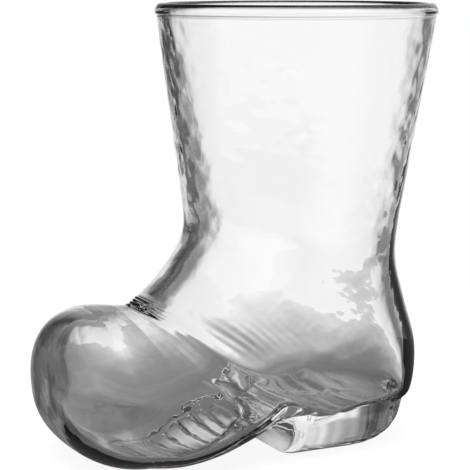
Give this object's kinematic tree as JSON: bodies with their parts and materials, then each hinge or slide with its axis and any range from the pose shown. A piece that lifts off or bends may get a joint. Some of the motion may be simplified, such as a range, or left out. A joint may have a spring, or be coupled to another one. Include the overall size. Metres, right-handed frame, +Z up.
{
  "type": "boot-shaped drinking glass",
  "caption": "Clear blown-glass drinking boot: a round tapering leg open at the mouth, a full rounded toe, an arched sole with a grooved tread and a solid heel block to stand on.",
  "frame": {"origin": "middle of the bounding box in X and Y, on the surface that the glass stands on", "axes": "+Z up out of the mouth, -X towards the tip of the toe, +X towards the heel, Y across the foot"},
  "size_m": [0.1162, 0.0792, 0.125],
  "materials": {
    "clear_glass": "fire-polished"
  },
  "bodies": {
    "root": {"lip": "clear_glass", "leg": "clear_glass", "foot": "clear_glass", "sole": "clear_glass", "heel": "clear_glass"}
  },
  "joints": []
}
